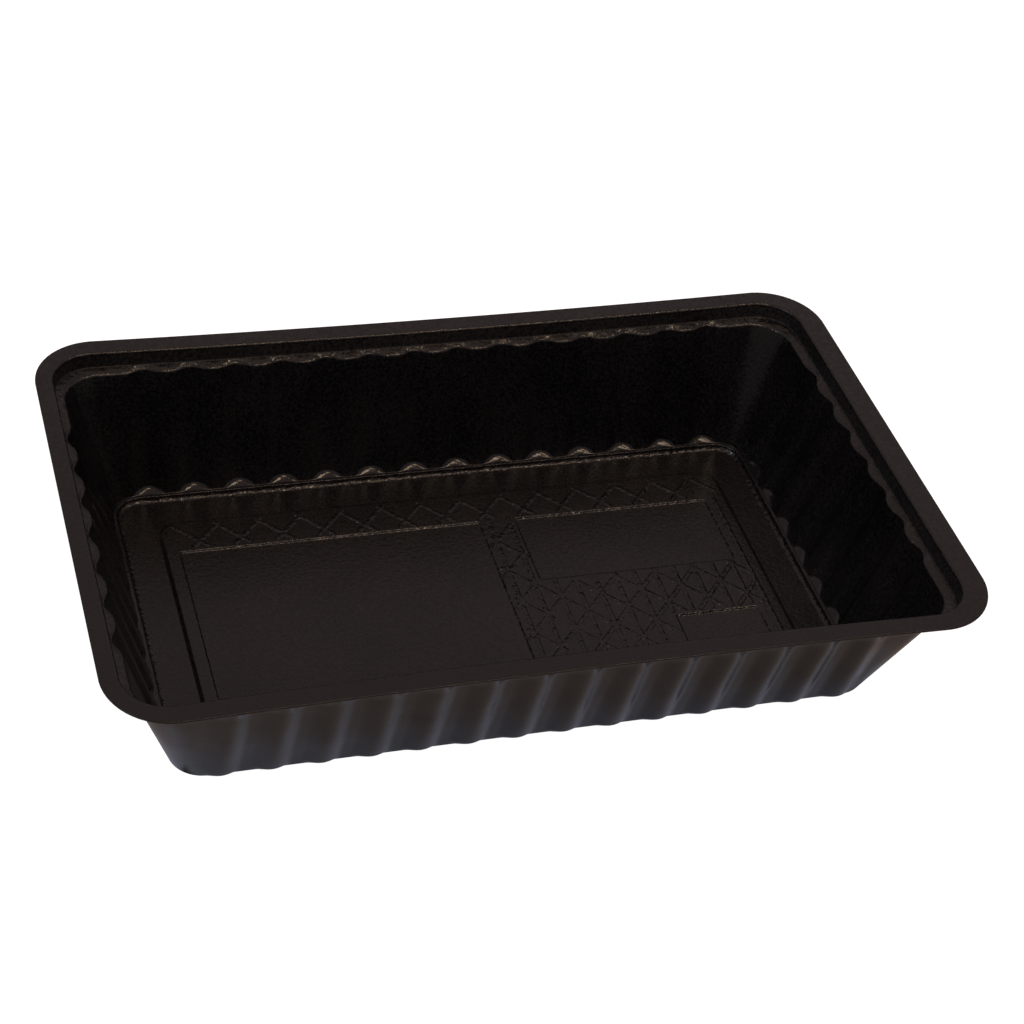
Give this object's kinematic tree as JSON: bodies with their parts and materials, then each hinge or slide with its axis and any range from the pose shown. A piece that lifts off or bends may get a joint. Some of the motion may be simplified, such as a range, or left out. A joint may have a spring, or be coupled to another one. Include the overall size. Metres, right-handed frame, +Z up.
{
  "type": "food tray",
  "caption": "Shallow rectangular black plastic food tray with a flat rim, a stacking ledge, sloping fluted walls and a raised floor panel.",
  "frame": {"origin": "middle of the footprint, on the surface that the tray stands on", "axes": "+X along the long side, +Y along the short side, +Z up out of the open top"},
  "size_m": [0.175, 0.1112, 0.0325],
  "materials": {
    "black_plastic": "thermoformed black sheet, glossy with a fine orange-peel grain"
  },
  "bodies": {
    "root": {"tray": "black_plastic"}
  },
  "joints": []
}
